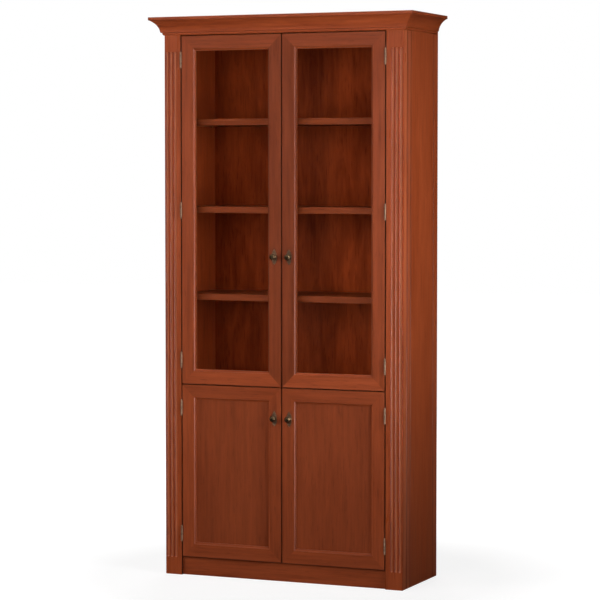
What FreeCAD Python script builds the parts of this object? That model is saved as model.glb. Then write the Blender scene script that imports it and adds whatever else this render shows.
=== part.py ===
import FreeCAD, Part
import math
import os
import re
import Sketcher
from FreeCAD import Placement, Rotation, Vector

# A tall two-door bookcase: glazed doors above, panelled doors below, fluted pilasters at the
# front corners and a cove cornice round the top. Millimetres, +Z up, front towards -Y.
# The origin is on the floor, under the centre of the whole piece, cornice included.

doc = FreeCAD.newDocument("GlazedBookcase")
sheet = doc.addObject("Spreadsheet::Sheet", "Sizes")

# Driving dimensions: name -> (millimetres or count, what it measures).
SIZES = {
    "total_height": (2134, "floor to the top of the cornice"),
    "case_width": (975, "over the two side panels"),
    "case_depth": (365, "pilaster face to the back edge of the sides"),
    "cornice_height": (68, "cornice, bottom to top"),
    "cornice_reach": (50, "how far the cornice stands out from what it is planted on"),
    "cornice_setback": (9, "pilaster face to the front of the head rail"),
    "cornice_short": (33, "the returns stop this far before the back edge"),
    "bead_out": (9, "how far the bead at the foot of the cornice stands out"),
    "bead_under": (4, "flat underside of that bead"),
    "bead_high": (7, "height of that bead"),
    "quirk": (2, "height of the quirk above the bead, and of the bevel above the quirk"),
    "fillet_out": (15, "how far the fillet under the cove stands out at its foot"),
    "fillet_head_out": (17, "how far it stands out at its head, where the cove starts"),
    "cove_foot": (21, "foot of the cornice to the start of the cove"),
    "cove_radius": (56, "radius of the cove"),
    "cove_gap": (5, "end of the cove to the square edge, across"),
    "fascia": (11, "square top edge of the cornice"),
    "pilaster_width": (68.5, "fluted corner post, seen from the front"),
    "pilaster_depth": (40, "fluted corner post, front to back"),
    "corner_ease": (1, "rounding of the outer front corner of a pilaster"),
    "flute_radius": (6.25, "radius of the round-nosed cutter of the flutes"),
    "flute_depth": (4.5, "depth of a flute"),
    "flute_pitch": (16.5, "flute to flute"),
    "flute_inset": (10, "outer edge of the pilaster to the first flute's centre"),
    "flute_count": (3, "flutes on a pilaster"),
    "flute_foot": (66, "floor to the bottom of the flutes"),
    "flute_head_gap": (63, "top of the flutes to the top of the pilaster"),
    "side_thick": (19, "outer and inner side panels"),
    "batten_thick": (12, "space between the outer and the inner side panel"),
    "batten_width": (40, "battens in that space"),
    "groove_half": (1.2, "half the width of a vertical V-groove in a side panel"),
    "groove_depth": (1.4, "depth of such a groove"),
    "groove_front": (78, "pilaster face to the front groove"),
    "groove_rear": (320, "pilaster face to the rear groove"),
    "joint_ease": (2, "chamfer that makes the V-joint of side panel and pilaster"),
    "back_setback": (345, "pilaster face to the front of the back panel"),
    "back_thick": (9, "back panel"),
    "back_foot": (30, "floor to the bottom of the back panel"),
    "plinth_height": (69, "plinth rail"),
    "plinth_setback": (12, "pilaster face to the front of the plinth rail"),
    "plinth_thick": (19, "plinth rail, front to back"),
    "head_drop": (4, "head rail and sides stop this far below the cornice's top"),
    "board_thick": (25, "deck, bottom, top and shelves"),
    "board_front": (25, "pilaster face to the front edge of deck and bottom"),
    "deck_centre": (736.5, "floor to the middle of the deck between the cupboards"),
    "top_under": (2057, "floor to the underside of the top panel"),
    "shelf_front": (45, "pilaster face to the front edge of a shelf"),
    "shelf_gap": (1, "play at each end of a shelf"),
    "shelf_back_gap": (2, "play behind a shelf"),
    "shelf_count": (3, "shelves behind the glass"),
    "edge_round": (3, "rounding of a shelf's front edges"),
    "support_radius": (2.5, "shelf pin and its hole"),
    "support_grip": (9, "length of a shelf pin in its hole"),
    "support_reach": (8, "length of a shelf pin under the shelf"),
    "support_front": (85, "pilaster face to the front row of pins"),
    "support_rear": (305, "pilaster face to the rear row of pins"),
    "door_gap": (3, "gap round and between the doors"),
    "door_thick": (22, "door frames"),
    "frame_width": (57, "stiles and rails of the doors"),
    "moulding_width": (8, "moulded inner edge of a stile or rail"),
    "moulding_drop": (6, "how far that moulding falls back"),
    "moulding_step": (1, "small step where the moulding starts"),
    "lip_back": (9, "door face to the back of the moulded lip"),
    "rebate_width": (7, "rebate behind the lip, for glass or panel"),
    "glass_thick": (3, "panes"),
    "pane_play": (1, "play round a pane or a panel in its rebate"),
    "panel_thick": (6, "veneered panels of the lower doors"),
    "bead_width": (7, "beads that hold the glass from behind"),
    "bead_depth": (9, "beads, front to back"),
    "bead_play": (0.2, "play between a bead and its rebate"),
    "hinge_stand": (4.1, "pin centre in front of the doors"),
    "hinge_radius": (3.75, "barrel of a hinge"),
    "hinge_bore": (2.05, "bore of the knuckles"),
    "hinge_pin": (1.99, "radius of the pins"),
    "tip_radius": (3.5, "widest part of a pin's tip"),
    "tip_end_radius": (1.8, "flat end of a pin's tip"),
    "tip_length": (6.6, "tip of a pin beyond the barrel"),
    "knuckle_pitch": (16.7, "knuckle to knuckle"),
    "knuckle_gap": (0.3, "play between knuckles"),
    "knuckle_count": (3, "knuckles in a hinge: two on the frame leaf, one on the door leaf"),
    "leaf_thick": (1.3, "leaf of a hinge"),
    "leaf_reach": (24, "pin centre to the far edge of a leaf"),
    "leaf_clear": (0.45, "play between a leaf and the other leaf's knuckles"),
    "upper_hinge_inset": (91, "end of an upper door to the middle of its hinge"),
    "lower_hinge_inset": (89, "end of a lower door to the middle of its hinge"),
    "upper_hinge_count": (3, "hinges on an upper door"),
    "lower_hinge_count": (2, "hinges on a lower door"),
    "knob_inset": (29, "meeting edge of a door to the knob's centre"),
    "upper_knob_height": (1228, "floor to the upper knobs"),
    "lower_knob_height": (618, "floor to the lower knobs"),
    "knob_radius": (12, "widest part of a knob"),
    "knob_neck": (4, "radius of its neck"),
    "knob_foot": (8, "radius of its foot"),
    "knob_foot_thick": (1.5, "thickness of its foot"),
    "knob_flare": (3.5, "length of the flare between foot and neck"),
    "knob_neck_end": (10, "door face to the end of the neck"),
    "knob_equator": (17.5, "door face to the widest part"),
    "knob_back": (14, "door face to the back edge of the head"),
    "knob_reach": (26, "door face to the front of a knob"),
    "knob_back_radius": (10.2, "back edge of the head"),
    "knob_shoulder_radius": (9.6, "head where its face starts to round over"),
    "knob_shoulder": (22.6, "door face to that place"),
    "knob_face_radius": (4.8, "flat in the middle of its face"),
    "plate_half_width": (11, "pointed plate behind a knob"),
    "plate_half_height": (30, "the same plate, upright"),
    "plate_thick": (1.6, "the same plate, thickness"),
    "catch_width": (32, "magnetic catch"),
    "catch_depth": (13, "magnetic catch, front to back"),
    "catch_height": (12, "magnetic catch, upright"),
    "catch_play": (0.6, "shut door to the catch"),
    "cut_spare": (6, "how far a saw cut runs past the wood"),
}

# Sizes that follow from the driving ones, as formulas over their names.
WORKED_OUT = {
    "face": "(cornice_reach - cornice_setback - case_depth) / 2",
    "half_case": "case_width / 2",
    "half_opening": "half_case - pilaster_width",
    "half_outer_clear": "half_case - side_thick",
    "half_clear": "half_case - 2 * side_thick - batten_thick",
    "case_top": "total_height - cornice_height",
    "head_top": "total_height - head_drop",
    "deck_under": "deck_centre - board_thick / 2",
    "deck_over": "deck_centre + board_thick / 2",
    "bottom_over": "plinth_height + board_thick",
    "shelf_pitch": "(top_under - deck_over + board_thick) / (shelf_count + 1)",
    "shelf_under": "deck_over + shelf_pitch - board_thick",
    "low_shelf_under": "(bottom_over + deck_under - board_thick) / 2",
    "door_width": "(2 * half_opening - 3 * door_gap) / 2",
    "lower_foot": "plinth_height + door_gap",
    "lower_height": "deck_centre - door_gap / 2 - lower_foot",
    "upper_foot": "deck_centre + door_gap / 2",
    "upper_height": "case_top - door_gap - upper_foot",
    "hinge_across": "half_opening - door_gap / 2",
    "hinge_front": "face - hinge_stand",
    "hinge_height": "knuckle_count * knuckle_pitch - knuckle_gap",
    "lip_inset": "frame_width - rebate_width",
    "moulding_start": "frame_width - moulding_width",
}


def bound(text):
    """A formula over the names above, as the spreadsheet's aliases."""

    def reference(word):
        name = word.group()
        if name in WORKED_OUT:
            return "(" + bound(WORKED_OUT[name]) + ")"
        return "Sizes." + name if name in SIZES else name

    return re.sub(r"[a-z_]+", reference, text)


def value(text):
    """What such a formula comes to."""
    return float(sheet.evalExpression(bound(text)))


for row, (alias, (amount, meaning)) in enumerate(SIZES.items(), start=1):
    sheet.set(f"A{row}", meaning)
    sheet.set(f"B{row}", str(amount))
    sheet.setAlias(f"B{row}", alias)
doc.recompute()

nodes = []


def keep(part):
    """Marks a finished piece as one that gets a file of its own."""
    nodes.append(part)
    return part


def new_body(label, place=("0", "0", "0"), rotation=Rotation()):
    """An empty body, placed by formulas."""
    body = doc.addObject("PartDesign::Body", label)
    body.Label = label
    body.Placement = Placement(Vector(*[value(text) for text in place]), rotation)
    for axis, text in zip("xyz", place):
        body.setExpression(f"Placement.Base.{axis}", bound(text))
    return body


def arc_between(start, end, radius, side):
    """The shorter arc from start to end, its centre on the left (side 1) or right (-1)."""
    chord = end - start
    half = chord.Length / 2
    left = Vector(-chord.y, chord.x, 0).normalize()
    centre = (start + end) / 2 + left * side * math.sqrt(max(radius**2 - half**2, 0))
    return Part.Arc(start, centre - left * side * radius, end)


def draw_outline(sketch, corners):
    """A closed outline. A corner is (x, y), or (x, y, radius, side) where an arc leaves it."""
    spots = [Vector(value(corner[0]), value(corner[1]), 0) for corner in corners]
    first = sketch.GeometryCount
    ends = []
    for index, corner in enumerate(corners):
        start = spots[index]
        end = spots[(index + 1) % len(corners)]
        if len(corner) == 2:
            sketch.addGeometry(Part.LineSegment(start, end), False)
        else:
            sketch.addGeometry(arc_between(start, end, value(corner[2]), corner[3]), False)
        runs_forward = sketch.getPoint(first + index, 1).distanceToPoint(start) < 1e-4
        ends.append((1, 2) if runs_forward else (2, 1))
    for index, corner in enumerate(corners):
        edge = first + index
        after = (index + 1) % len(corners)
        sketch.addConstraint(
            Sketcher.Constraint("Coincident", edge, ends[index][1], first + after, ends[after][0])
        )
        for kind, text in (("DistanceX", corner[0]), ("DistanceY", corner[1])):
            rule = Sketcher.Constraint(kind, -1, 1, edge, ends[index][0], value(text))
            number = sketch.addConstraint(rule)
            sketch.setExpression(f"Constraints[{number}]", bound(text))
        if len(corner) > 2:
            number = sketch.addConstraint(Sketcher.Constraint("Radius", edge, value(corner[2])))
            sketch.setExpression(f"Constraints[{number}]", bound(corner[2]))


def draw_circle(sketch, across, along, radius):
    """A circle, its centre and radius given by formulas."""
    centre = Vector(value(across), value(along), 0)
    edge = sketch.addGeometry(Part.Circle(centre, Vector(0, 0, 1), value(radius)), False)
    for kind, text in (("DistanceX", across), ("DistanceY", along)):
        number = sketch.addConstraint(Sketcher.Constraint(kind, -1, 1, edge, 3, value(text)))
        sketch.setExpression(f"Constraints[{number}]", bound(text))
    number = sketch.addConstraint(Sketcher.Constraint("Radius", edge, value(radius)))
    sketch.setExpression(f"Constraints[{number}]", bound(radius))


def new_sketch(body, name, plane, outlines=(), circles=(), lift="0"):
    """A sketch on one of the body's own planes, moved along that plane's normal by lift."""
    sketch = body.newObject("Sketcher::SketchObject", name)
    origin_plane = next(f for f in body.Origin.OriginFeatures if f.Role == plane)
    sketch.AttachmentSupport = [(origin_plane, "")]
    sketch.MapMode = "FlatFace"
    sketch.setExpression("AttachmentOffset.Base.z", bound(lift))
    for corners in outlines:
        draw_outline(sketch, corners)
    for circle in circles:
        draw_circle(sketch, *circle)
    return sketch


def rectangle(left, bottom, right, top):
    return [(left, bottom), (right, bottom), (right, top), (left, top)]


def pad(body, sketch, length, backwards=False, both_ways=False):
    feature = body.newObject("PartDesign::Pad", sketch.Name + "Pad")
    feature.Profile = sketch
    feature.setExpression("Length", bound(length))
    feature.Reversed = backwards
    feature.Midplane = both_ways
    return feature


def cut(body, sketch, length=None, backwards=False):
    """A pocket of the given length, or right through both ways."""
    feature = body.newObject("PartDesign::Pocket", sketch.Name + "Cut")
    feature.Profile = sketch
    if length is None:
        feature.Type = "ThroughAll"
        feature.Midplane = True
    else:
        feature.setExpression("Length", bound(length))
        feature.Reversed = backwards
    return feature


def turn(body, sketch, axis):
    """A turned piece: the sketch revolved about one of its own axes."""
    feature = body.newObject("PartDesign::Revolution", sketch.Name + "Turned")
    feature.Profile = sketch
    feature.ReferenceAxis = (sketch, [axis])
    feature.Angle = 360
    return feature


def repeat(body, features, axis, count, step, name="Row"):
    """A straight row of features, or of the whole body where features is empty."""
    doc.recompute()
    row_of = body.newObject("PartDesign::LinearPattern", name)
    if features:
        row_of.Originals = features
    else:
        row_of.TransformMode = "Whole shape"
    direction = next(f for f in body.Origin.OriginFeatures if f.Role == axis)
    row_of.Direction = (direction, [""])
    row_of.Mode = "Spacing"
    row_of.setExpression("Offset", bound(step))
    row_of.setExpression("Occurrences", bound(count))
    body.Tip = row_of
    return row_of


def mirror(body, plane):
    """The whole body and its mirror image about one of its own planes."""
    doc.recompute()
    feature = body.newObject("PartDesign::Mirrored", "MirrorImage")
    feature.TransformMode = "Whole shape"
    feature.MirrorPlane = (next(f for f in body.Origin.OriginFeatures if f.Role == plane), [""])
    body.Tip = feature
    return feature


def ease_edges(body, base, kind, size, wanted):
    """A Fillet or Chamfer on the edges of base whose middle passes the test."""
    doc.recompute()
    names = []
    for number, edge in enumerate(base.Shape.Edges, start=1):
        if wanted(edge):
            names.append(f"Edge{number}")
    feature = body.newObject("PartDesign::" + kind, kind + "Edges")
    feature.Base = (base, names)
    feature.setExpression("Radius" if kind == "Fillet" else "Size", bound(size))
    return feature


def runs_along(edge, axis):
    """Whether a straight edge runs along the given axis: 0 is X, 1 is Y and 2 is Z."""
    span = edge.Vertexes[-1].Point - edge.Vertexes[0].Point
    return abs(abs(span[axis]) - edge.Length) < 1e-6


def board(label, corners, plane, length, place, both_ways=False, backwards=False):
    """A plain board: one outline on a plane, padded to its length."""
    body = new_body(label, place)
    pad(body, new_sketch(body, "Outline", plane, [corners]), length, backwards, both_ways)
    return body


def group(label, parts):
    """Like pieces that share one file, each a solid of its own."""
    compound = doc.addObject("Part::Compound", label)
    compound.Label = label
    compound.Links = parts
    return compound


# ---------------------------------------------------------------- the case

# Outer side panels: from the floor to just under the cornice's top, with two upright
# V-grooves that make a flat panel of the middle, and an eased front edge.
for side, name in ((-1, "left"), (1, "right")):
    outer = f"{side} * half_case"
    inner = f"{side} * half_outer_clear"
    bottom_of_groove = f"{side} * (half_case - groove_depth)"
    section = [(inner, "pilaster_depth"), (f"{side} * (half_case - joint_ease)", "pilaster_depth")]
    section.append((outer, "pilaster_depth + joint_ease"))
    for groove in ("groove_front", "groove_rear"):
        section.append((outer, groove + " - groove_half"))
        section.append((bottom_of_groove, groove))
        section.append((outer, groove + " + groove_half"))
    section.append((outer, "case_depth"))
    section.append((inner, "case_depth"))
    keep(board(name + "_side_panel", section, "XY_Plane", "head_top", ("0", "face", "0")))

# Inner side panels, bored for the shelf pins in a front and a rear row.
for side, name in ((-1, "left"), (1, "right")):
    near = f"{side} * half_clear"
    far = f"{side} * (half_clear + side_thick)"
    body = board(
        name + "_inner_panel",
        rectangle(near, "pilaster_depth", far, "back_setback"),
        "XY_Plane",
        "top_under",
        ("0", "face", "0"),
    )
    for place_name, under in (("Upper", "shelf_under"), ("Lower", "low_shelf_under")):
        height = f"{under} - support_radius"
        rows = [("support_front", height, "support_radius"), ("support_rear", height, "support_radius")]
        bores = new_sketch(body, place_name + "Holes", "YZ_Plane", circles=rows, lift=near)
        holes = cut(body, bores, "support_grip", backwards=side > 0)
        if place_name == "Upper":
            repeat(body, [holes], "Z_Axis", "shelf_count", "shelf_pitch", "HoleRows")
    keep(body)

# Battens that hold the inner and the outer side panel apart.
body = board(
    "side_spacer_battens",
    rectangle(
        "half_clear + side_thick",
        "pilaster_depth",
        "half_outer_clear",
        "pilaster_depth + batten_width",
    ),
    "XY_Plane",
    "top_under",
    ("0", "face", "0"),
)
repeat(body, [], "Y_Axis", "2", "back_setback - pilaster_depth - batten_width")
mirror(body, "YZ_Plane")
keep(body)

# Pilasters: posts with an eased outer corner and three stopped flutes, cut with a
# round-nosed cutter, nearer the outer edge so that the hinge side stays plain.
for side, name in ((-1, "left"), (1, "right")):
    body = new_body(name + "_pilaster", (f"{side} * half_case", "face", "0"))
    section = [
        ("0", "0"),
        (f"-{side} * pilaster_width", "0"),
        (f"-{side} * pilaster_width", "pilaster_depth"),
        (f"-{side} * joint_ease", "pilaster_depth"),
        ("0", "pilaster_depth - joint_ease"),
    ]
    post = pad(body, new_sketch(body, "Post", "XY_Plane", [section]), "case_top")
    ease_edges(
        body,
        post,
        "Fillet",
        "corner_ease",
        lambda edge: runs_along(edge, 2) and edge.CenterOfMass.x ** 2 + edge.CenterOfMass.y ** 2 < 1e-6,
    )
    cutter = []
    run_foot = "flute_foot + flute_radius"
    run_head = "case_top - flute_head_gap - flute_radius"
    shaft = body.newObject("PartDesign::SubtractiveCylinder", "FluteRun")
    shaft.setExpression("Height", bound(f"{run_head} - ({run_foot})"))
    cutter.append((shaft, run_foot))
    for end_name, end in (("FluteFoot", run_foot), ("FluteHead", run_head)):
        ball = body.newObject("PartDesign::SubtractiveSphere", end_name)
        cutter.append((ball, end))
    for tool, height in cutter:
        tool.setExpression("Radius", bound("flute_radius"))
        tool.setExpression("Placement.Base.x", bound(f"-{side} * flute_inset"))
        tool.setExpression("Placement.Base.y", bound("flute_depth - flute_radius"))
        tool.setExpression("Placement.Base.z", bound(height))
    flutes = repeat(body, [tool for tool, height in cutter], "X_Axis", "flute_count", "flute_pitch")
    flutes.Reversed = side > 0
    keep(body)

# Deck and bottom: full boards between the inner side panels, with a tongue between the
# pilasters that the doors shut against.
for name, under in (("fixed_shelf", "deck_under"), ("bottom_panel", "plinth_height")):
    outline = [
        ("-half_opening", "board_front"),
        ("half_opening", "board_front"),
        ("half_opening", "pilaster_depth"),
        ("half_clear", "pilaster_depth"),
        ("half_clear", "back_setback"),
        ("-half_clear", "back_setback"),
        ("-half_clear", "pilaster_depth"),
        ("-half_opening", "pilaster_depth"),
    ]
    keep(board(name, outline, "XY_Plane", "board_thick", ("0", "face", under)))

# Top panel, on the inner side panels and behind the head rail.
keep(
    board(
        "top_panel",
        rectangle("-half_outer_clear", "pilaster_depth", "half_outer_clear", "back_setback"),
        "XY_Plane",
        "board_thick",
        ("0", "face", "top_under"),
    )
)

# Back panel, set in between the outer side panels.
keep(
    board(
        "back_panel",
        rectangle("-half_outer_clear", "0", "half_outer_clear", "back_thick"),
        "XY_Plane",
        "top_under + board_thick - back_foot",
        ("0", "face + back_setback", "back_foot"),
    )
)

# Plinth rail between the pilasters, and head rail across their tops.
keep(
    board(
        "plinth_rail",
        rectangle("-half_opening", "0", "half_opening", "plinth_thick"),
        "XY_Plane",
        "plinth_height",
        ("0", "face + plinth_setback", "0"),
    )
)
keep(
    board(
        "head_rail",
        rectangle("-half_case", "cornice_setback", "half_case", "pilaster_depth"),
        "XY_Plane",
        "cornice_height - head_drop",
        ("0", "face", "case_top"),
    )
)

# Adjustable shelves with rounded front edges, each on four pins.
def shelf(label, under):
    body = new_body(label, ("0", "face + shelf_front", under))
    depth = "back_setback - shelf_front - shelf_back_gap"
    section = new_sketch(
        body, "Section", "YZ_Plane", [rectangle("0", "0", depth, "board_thick")]
    )
    plank = pad(body, section, "2 * (half_clear - shelf_gap)", both_ways=True)
    ease_edges(
        body,
        plank,
        "Fillet",
        "edge_round",
        lambda edge: runs_along(edge, 0) and abs(edge.CenterOfMass.y) < 1e-6,
    )
    return keep(body)


for number in range(int(value("shelf_count"))):
    shelf(f"upper_shelf_{number + 1}", f"shelf_under + {number} * shelf_pitch")
shelf("lower_shelf", "low_shelf_under")

# Shelf pins: plain turned pins, part in the panel and part under the shelf.
def shelf_pins(label, under, levels):
    body = new_body(label, ("0", "face", f"{under} - support_radius"))
    section = rectangle(
        "half_clear - support_reach", "0", "half_clear + support_grip", "support_radius"
    )
    sketch = new_sketch(body, "PinSection", "XY_Plane", [section])
    sketch.setExpression("AttachmentOffset.Base.y", bound("support_front"))
    turn(body, sketch, "H_Axis")
    repeat(body, [], "Y_Axis", "2", "support_rear - support_front", "FrontAndRear")
    if levels:
        repeat(body, [], "Z_Axis", levels, "shelf_pitch", "Levels")
    mirror(body, "YZ_Plane")
    return body


keep(
    group(
        "shelf_pins",
        [
            shelf_pins("upper_shelf_pins", "shelf_under", "shelf_count"),
            shelf_pins("lower_shelf_pins", "low_shelf_under", None),
        ],
    )
)

# Magnetic catches behind the meeting stiles: under the head rail and under the deck.
def catches(label, under):
    body = board(
        label,
        rectangle(
            "door_gap / 2 + knob_inset - catch_width / 2",
            "door_thick + catch_play",
            "door_gap / 2 + knob_inset + catch_width / 2",
            "door_thick + catch_play + catch_depth",
        ),
        "XY_Plane",
        "catch_height",
        ("0", "face", f"{under} - catch_height"),
    )
    mirror(body, "YZ_Plane")
    return body


keep(group("door_catches", [catches("upper_catches", "case_top"), catches("lower_catches", "deck_under")]))


# ---------------------------------------------------------------- mitred mouldings

def mitred_length(label, section, width, length, mitres, place, rotation):
    """A length of moulding with its outer edge at 0 across, its ends cut at 45 degrees or square."""
    body = new_body(label, place, rotation)
    pad(body, new_sketch(body, "Section", "XY_Plane", [section]), length)
    far = f"{width} + cut_spare"
    waste = []
    if mitres[0]:
        waste.append([("-cut_spare", "-cut_spare"), (far, "-cut_spare"), (far, far)])
    if mitres[1]:
        past = f"{length} + cut_spare"
        waste.append([("-cut_spare", past), (far, past), (far, f"{length} - ({far})")])
    cut(body, new_sketch(body, "Mitres", "XZ_Plane", waste))
    return body


def turned_to(across, depth):
    """The rotation that takes a moulding's width and depth to these directions."""
    across = Vector(*across)
    depth = Vector(*depth)
    return Rotation(across, depth, across.cross(depth), "XYZ")


# Cornice: a bead, a quirk, a fillet and a long cove under a square top edge, planted on the head rail
# and on the sides, and mitred at the front corners.
cornice_section = [
    ("cornice_reach", "0"),
    ("cornice_reach - bead_under", "0", "bead_high", -1),
    ("cornice_reach - bead_out", "bead_high"),
    ("cornice_reach - bead_out", "bead_high + quirk"),
    ("cornice_reach - fillet_out", "bead_high + 2 * quirk"),
    ("cornice_reach - fillet_head_out", "cove_foot", "cove_radius", 1),
    ("cove_gap", "cornice_height - fascia - quirk"),
    ("0", "cornice_height - fascia"),
    ("0", "cornice_height"),
    ("cornice_reach", "cornice_height"),
]
keep(
    mitred_length(
        "cornice_front",
        cornice_section,
        "cornice_reach",
        "case_width + 2 * cornice_reach",
        (True, True),
        ("-half_case - cornice_reach", "face + cornice_setback - cornice_reach", "case_top"),
        turned_to((0, 1, 0), (0, 0, 1)),
    )
)
return_length = "case_depth - cornice_short - cornice_setback + cornice_reach"
keep(
    mitred_length(
        "cornice_right",
        cornice_section,
        "cornice_reach",
        return_length,
        (True, False),
        ("half_case + cornice_reach", "face + cornice_setback - cornice_reach", "case_top"),
        turned_to((-1, 0, 0), (0, 0, 1)),
    )
)
keep(
    mitred_length(
        "cornice_left",
        cornice_section,
        "cornice_reach",
        return_length,
        (False, True),
        ("-half_case - cornice_reach", "face + case_depth - cornice_short", "case_top"),
        turned_to((1, 0, 0), (0, 0, 1)),
    )
)


# ---------------------------------------------------------------- doors

# Section of a door's stiles and rails: flat face, small step, ovolo to the sight edge.
# The glazed doors have an open rebate behind the lip, the panelled ones a groove.
moulded_face = [
    ("0", "0"),
    ("moulding_start", "0"),
    ("moulding_start", "moulding_step", "moulding_width", -1),
    ("frame_width", "moulding_drop"),
    ("frame_width", "lip_back"),
    ("lip_inset", "lip_back"),
]
glazed_section = moulded_face + [
    ("lip_inset", "door_thick"),
    ("0", "door_thick"),
]
panelled_section = moulded_face + [
    ("lip_inset", "lip_back + panel_thick"),
    ("frame_width", "lip_back + panel_thick"),
    ("frame_width", "door_thick"),
    ("0", "door_thick"),
]
bead_section = [
    ("0", "0"),
    ("bead_width", "0"),
    ("bead_width", "bead_depth - bead_width", "bead_width", 1),
    ("0", "bead_depth"),
]


def mitred_frame(names, section, width, left, front, foot, across, height):
    """Four mitred lengths round a rectangle: left stile, right stile, bottom rail, top rail."""
    right = f"{left} + {across}"
    head = f"{foot} + {height}"
    ways = (
        (height, (left, front, foot), (1, 0, 0)),
        (height, (right, front, head), (-1, 0, 0)),
        (across, (right, front, foot), (0, 0, 1)),
        (across, (left, front, head), (0, 0, -1)),
    )
    frame = []
    for name, (length, place, direction) in zip(names, ways):
        rotation = turned_to(direction, (0, 1, 0))
        frame.append(mitred_length(name, section, width, length, (True, True), place, rotation))
    return frame


def hinge_leaves(label, side, door_leaf, place, count, step):
    """The leaves of one side of a door's hinges, plate towards side, pin centre at 0."""
    body = new_body(label, place)
    near = f"{side} * (door_gap / 2 - leaf_thick)"
    far = f"{side} * door_gap / 2"
    plate = rectangle(near, "hinge_radius + leaf_clear", far, "leaf_reach")
    pad(body, new_sketch(body, "Plate", "XY_Plane", [plate]), "hinge_height")
    start = "knuckle_pitch" if door_leaf else "0"
    barrel = new_sketch(body, "Knuckle", "XY_Plane", circles=[("0", "0", "hinge_radius")], lift=start)
    neck_outline = rectangle(near, "0", far, "hinge_radius + 2 * leaf_clear")
    neck = new_sketch(body, "Neck", "XY_Plane", [neck_outline], lift=start)
    knuckle_length = "knuckle_pitch - knuckle_gap"
    rolled = [pad(body, barrel, knuckle_length), pad(body, neck, knuckle_length)]
    if not door_leaf:
        repeat(body, rolled, "Z_Axis", "knuckle_count - 1", "2 * knuckle_pitch", "Knuckles")
    cut(body, new_sketch(body, "Bore", "XY_Plane", circles=[("0", "0", "hinge_bore")]))
    repeat(body, [], "Z_Axis", count, step, "Hinges")
    return body


def tipped_pins(label, place, count, step):
    """The hinge pins of one door, each turned with a coned tip at both ends."""
    body = new_body(label, place)
    section = [
        ("0", "-tip_length"),
        ("tip_end_radius", "-tip_length"),
        ("tip_radius", "-tip_length / 2"),
        ("hinge_pin", "0"),
        ("hinge_pin", "hinge_height"),
        ("tip_radius", "hinge_height + tip_length / 2"),
        ("tip_end_radius", "hinge_height + tip_length"),
        ("0", "hinge_height + tip_length"),
    ]
    turn(body, new_sketch(body, "PinSection", "XZ_Plane", [section]), "V_Axis")
    repeat(body, [], "Z_Axis", count, step, "Pins")
    return body


def knob(label, place):
    """A turned knob: foot, flared neck and a head with a bevelled back and face."""
    body = new_body(label, place)
    foot_front = "plate_thick + knob_foot_thick"
    section = [
        ("0", "-plate_thick"),
        ("knob_foot", "-plate_thick"),
        ("knob_foot", f"-({foot_front})"),
        ("knob_neck", f"-({foot_front} + knob_flare)"),
        ("knob_neck", "-knob_neck_end"),
        ("knob_back_radius", "-knob_back"),
        ("knob_radius", "-knob_equator"),
        ("knob_shoulder_radius", "-knob_shoulder"),
        ("knob_face_radius", "-knob_reach"),
        ("0", "-knob_reach"),
    ]
    turn(body, new_sketch(body, "KnobSection", "XY_Plane", [section]), "V_Axis")
    return body


def knob_plate(label, place):
    """A pointed plate behind a knob: two arcs that meet at its top and bottom."""
    body = new_body(label, place)
    bow = "(plate_half_width ^ 2 + plate_half_height ^ 2) / (2 * plate_half_width)"
    outline = [("0", "-plate_half_height", bow, 1), ("0", "plate_half_height", bow, 1)]
    pad(body, new_sketch(body, "Outline", "XZ_Plane", [outline]), "plate_thick")
    return body


frame_leaves = []
pins = []
for level in ("upper", "lower"):
    foot = level + "_foot"
    height = level + "_height"
    inset = level + "_hinge_inset"
    hinge_count = level + "_hinge_count"
    glazed = level == "upper"
    for side, hand in ((-1, "left"), (1, "right")):
        name = f"{level}_{hand}_"
        left = "-half_opening + door_gap" if side < 0 else "door_gap / 2"
        stiles = ["hinge_stile", "meeting_stile"][::-side]
        members = [name + piece for piece in stiles + ["bottom_rail", "top_rail"]]
        section = glazed_section if glazed else panelled_section
        for member in mitred_frame(
            members, section, "frame_width", left, "face", foot, "door_width", height
        ):
            keep(member)

        # Glass or panel, with a little play in its rebate or groove.
        rim = "lip_inset + pane_play"
        pane = rectangle("0", "0", f"door_width - 2 * ({rim})", f"{height} - 2 * ({rim})")
        pane_name = "glass_pane" if glazed else "panel"
        pane_thick = "glass_thick" if glazed else "panel_thick"
        place = (f"{left} + {rim}", "face + lip_back", f"{foot} + {rim}")
        keep(board(name + pane_name, pane, "XZ_Plane", pane_thick, place, backwards=True))

        # Beads behind the glass.
        if glazed:
            shift = "lip_inset + bead_play"
            beads = mitred_frame(
                [name + "bead_" + number for number in "1234"],
                bead_section,
                "bead_width",
                f"{left} + {shift}",
                "face + lip_back + glass_thick",
                f"{foot} + {shift}",
                f"door_width - 2 * ({shift})",
                f"{height} - 2 * ({shift})",
            )
            keep(group(name + "glass_beads", beads))

        # Butt hinges: a door leaf, a frame leaf and a pin with turned tips each.
        lowest = (f"{side} * hinge_across", "hinge_front", f"{foot} + {inset} - hinge_height / 2")
        step = f"({height} - 2 * {inset}) / ({hinge_count} - 1)"
        keep(hinge_leaves(name + "hinge_leaves", -side, True, lowest, hinge_count, step))
        frame_leaves.append(
            hinge_leaves(name + "frame_leaves", side, False, lowest, hinge_count, step)
        )
        pins.append(tipped_pins(name + "pins", lowest, hinge_count, step))

        # Knob and its plate on the meeting stile.
        spot = (f"{side} * (door_gap / 2 + knob_inset)", "face", level + "_knob_height")
        keep(knob_plate(name + "knob_plate", spot))
        keep(knob(name + "knob", spot))

keep(group("frame_hinge_leaves", frame_leaves))
keep(group("hinge_pins", pins))


# ---------------------------------------------------------------- checks and files

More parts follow.
